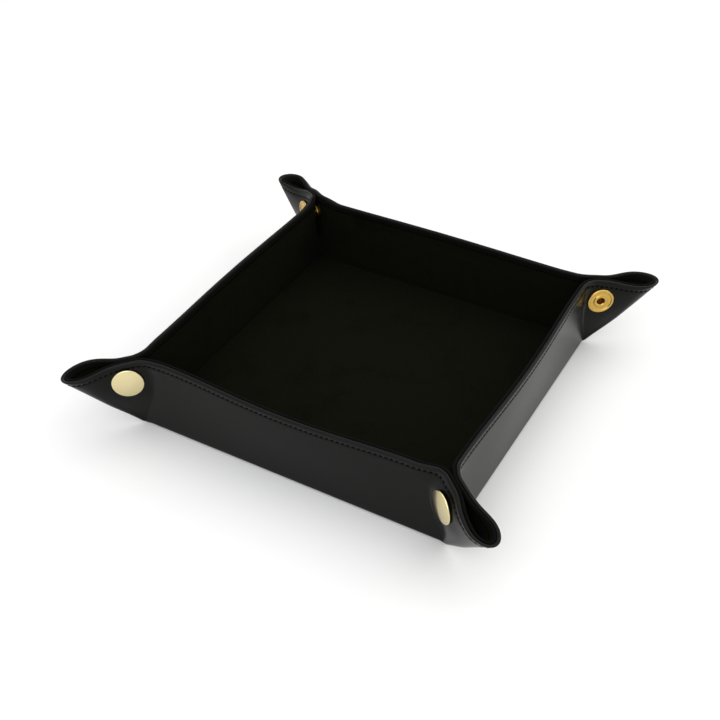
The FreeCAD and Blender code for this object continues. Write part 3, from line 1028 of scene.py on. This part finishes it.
class TRAY_OT_sewing(bpy.types.Operator):
    """Sewing: one row of stitches under the rim, on the leather and on the suede."""

    bl_idname = "tray.sewing"
    bl_label = "Sewing"

    def execute(self, context):
        skins = [grids(lined) for lined in SKINS]
        for wall in WALLS:
            leather = skins[0][wall]
            gathered = {cut: ([], [], []) for cut in leather.cuts}
            for walls in skins:
                self.sew(walls[wall], gathered)
            for cut, run in gathered.items():
                self.finish_run(wall, leather, cut, *run)
        return {"FINISHED"}

    def sew(self, grid, gathered):
        """Lays stitches along one skin's rim and hands each to the piece it lies on."""
        sheet = grid.sheet
        depth, height = (sheet.stack, STITCH_IN_SUEDE) if grid.lined else (0.0, STITCH_ON_LEATHER)
        line, normals = grid.line(sheet.inset, depth)
        steps = np.linalg.norm(np.diff(line, axis=0), axis=1)
        length = np.concatenate([[0.0], np.cumsum(steps)])

        def between(at, values):
            return np.array([np.interp(at, length, values[:, axis]) for axis in range(3)])

        count = int(length[-1] / sheet.pitch)
        first = (length[-1] - (count - 1) * sheet.pitch) / 2
        for k in range(count):
            at = first + k * sheet.pitch
            tangent = between(at + STITCH_LOOK, line) - between(at - STITCH_LOOK, line)
            tangent /= np.linalg.norm(tangent)
            normal = between(at, normals)
            normal -= tangent * (normal @ tangent)
            normal /= np.linalg.norm(normal)
            points, faces = stitch(between(at, line), tangent, normal, height)
            column = float(np.interp(at, length, np.arange(len(length))))
            cut = next(name for name, (start, end) in grid.cuts.items() if start <= column <= end)
            base = len(gathered[cut][0])
            gathered[cut][0].extend(points)
            gathered[cut][1].extend([[v + base for v in face] for face in faces])
            gathered[cut][2].extend([int(grid.lined)] * len(faces))

    def finish_run(self, wall, grid, cut, points, faces, threads):
        """One piece of all the stitches that lie on one piece of the sheet."""
        half = grid.first if cut.startswith("first") else grid.last
        owner = wall + "_wall"
        if cut != "wall":
            owner = half.name + ("_loop" if cut.endswith("loop") else "")
        piece = mesh_object(owner + "_stitches", np.array(points), faces, thread_material())
        piece.data.materials.append(dull_thread_material())
        piece.data.polygons.foreach_set("material_index", threads)
        if cut.endswith("ear"):
            bend_at_crease(piece, half)
        elif cut.endswith("loop"):
            bend_at_loop(piece, half)
        else:
            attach(piece, owner)


class TRAY_OT_press_studs(bpy.types.Operator):
    """Press studs: finishes for the caps, sockets, springs, studs and eyelets."""

    bl_idname = "tray.press_studs"
    bl_label = "Press studs"

    def execute(self, context):
        colours = finishes()
        gold = metal_material("pale gold", colours.cap, 0.20)
        brass = metal_material("bright brass", colours.brass, 0.24)
        steel = metal_material("spring steel", STEEL, 0.35)
        metals = {"cap": gold, "socket": brass, "spring": steel, "stud": brass, "post": brass}
        for corner in CORNERS:
            for kind, metal in metals.items():
                self.finish_node(corner + "_snap_" + kind, metal)
        self.finish_node("base_board", board_material())
        return {"FINISHED"}

    def finish_node(self, name, material):
        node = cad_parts[name]
        node.data.materials.clear()
        node.data.materials.append(material)


# stage, in metres and watts
TABLE_REACH = 1.9
TABLE_DROP = 0.0002
WHITE = (1, 1, 1, 1)
WORLD_AS_LIGHT = 0.80
WORLD_AS_SEEN = 1.0
# lamp: place, target, size, power and colour
LAMPS = {
    "overhead": ((0.15, 0.25, 1.3), (0, 0, 0), 1.8, 7.5, (1.0, 1.0, 0.98)),
    "fill": ((0.1, -1.25, 1.0), (0, 0, 0), 1.4, 9.0, (0.97, 0.985, 1.0)),
    "side": ((1.15, 0.95, 0.75), (0, 0, 0.02), 1.0, 4.5, (1.0, 1.0, 0.82)),
}
CAMERA_PLACE = (0.211631, -0.383151, 0.366944)
CAMERA_FORWARD = (-0.38545, 0.67490, -0.62924)
CAMERA_RIGHT = (0.87080, 0.49160, -0.00615)
CAMERA_LENS = 57.43
CAMERA_SENSOR = 36.0
CAMERA_CLIP = 0.01


class TRAY_OT_stage(bpy.types.Operator):
    """Stage: pale table, soft light and the camera."""

    bl_idname = "tray.stage"
    bl_label = "Stage"

    def execute(self, context):
        self.table()
        self.world()
        for name, lamp in LAMPS.items():
            self.lamp(name, *lamp)
        self.camera()
        context.scene.view_settings.view_transform = "Standard"
        return {"FINISHED"}

    def table(self):
        mesh = bpy.data.meshes.new("table")
        outline = [(x * TABLE_REACH, y * TABLE_REACH, 0) for x, y in CORNERS.values()]
        mesh.from_pydata(outline, [], [(0, 1, 2, 3)])
        mesh.materials.append(plain_material("white table", finishes().table, Roughness=0.6))
        table = bpy.data.objects.new("table", mesh)
        table.location.z = -TABLE_DROP
        bpy.context.scene.collection.objects.link(table)

    def world(self):
        """White all round, a little dimmer as a light than as it is seen and mirrored."""
        world = bpy.data.worlds.new("studio")
        world.use_nodes = True
        tree = world.node_tree
        links = tree.links
        light = tree.nodes["Background"]
        set_inputs(light, Color=WHITE, Strength=WORLD_AS_LIGHT)
        white = add_node(tree, "ShaderNodeBackground", Color=WHITE, Strength=WORLD_AS_SEEN)
        mix = add_node(tree, "ShaderNodeMixShader")
        rays = add_node(tree, "ShaderNodeLightPath")
        seen = rays.outputs["Is Camera Ray"]
        for kind in ("Is Glossy Ray", "Is Transmission Ray"):
            either = add_math(tree, "MAXIMUM")
            links.new(seen, either.inputs[0])
            links.new(rays.outputs[kind], either.inputs[1])
            seen = either.outputs["Value"]
        links.new(seen, mix.inputs["Fac"])
        links.new(light.outputs["Background"], mix.inputs[1])
        links.new(white.outputs["Background"], mix.inputs[2])
        links.new(mix.outputs["Shader"], tree.nodes["World Output"].inputs["Surface"])
        bpy.context.scene.world = world

    def lamp(self, name, place, target, size, power, colour):
        light = bpy.data.lights.new(name, "AREA")
        light.size = size
        light.energy = power
        light.color = colour
        lamp = bpy.data.objects.new(name, light)
        lamp.location = place
        towards = Vector(target) - Vector(place)
        lamp.rotation_euler = towards.to_track_quat("-Z", "Y").to_euler()
        bpy.context.scene.collection.objects.link(lamp)

    def camera(self):
        camera = bpy.data.cameras.new("camera")
        camera.lens = CAMERA_LENS
        camera.sensor_width = CAMERA_SENSOR
        camera.sensor_fit = "HORIZONTAL"
        camera.clip_start = CAMERA_CLIP
        holder = bpy.data.objects.new("camera", camera)
        right = Vector(CAMERA_RIGHT).normalized()
        back = -Vector(CAMERA_FORWARD).normalized()
        up = back.cross(right)
        turn = Matrix((right, up, back)).transposed().to_4x4()
        holder.matrix_world = Matrix.Translation(CAMERA_PLACE) @ turn
        bpy.context.scene.collection.objects.link(holder)
        bpy.context.scene.camera = holder


OPERATORS = (
    TRAY_OT_bottom,
    TRAY_OT_walls,
    TRAY_OT_corner_folds,
    TRAY_OT_ears,
    TRAY_OT_sewing,
    TRAY_OT_press_studs,
    TRAY_OT_stage,
)


class TRAY_PT_panel(bpy.types.Panel):
    """Lists the tray's sizes, finishes and pieces."""

    bl_label = "Valet tray"
    bl_idname = "TRAY_PT_panel"
    bl_space_type = "VIEW_3D"
    bl_region_type = "UI"
    bl_category = "Tray"

    def draw(self, context):
        for group in (context.scene.tray_sizes, context.scene.tray_finishes):
            for name in group.__annotations__:
                self.layout.prop(group, name)
        for operator in OPERATORS:
            self.layout.operator(operator.bl_idname)


CLASSES = (TraySizes, TrayFinishes, *OPERATORS, TRAY_PT_panel)


def register():
    for cls in CLASSES:
        bpy.utils.register_class(cls)
    bpy.types.Scene.tray_sizes = bpy.props.PointerProperty(type=TraySizes)
    bpy.types.Scene.tray_finishes = bpy.props.PointerProperty(type=TrayFinishes)


def unregister():
    del bpy.types.Scene.tray_finishes
    del bpy.types.Scene.tray_sizes
    for cls in reversed(CLASSES):
        bpy.utils.unregister_class(cls)


def main():
    register()
    bpy.ops.tray.bottom()
    bpy.ops.tray.walls()
    bpy.ops.tray.corner_folds()
    bpy.ops.tray.ears()
    bpy.ops.tray.sewing()
    bpy.ops.tray.press_studs()
    bpy.ops.tray.stage()


if __name__ == "__main__":
    main()
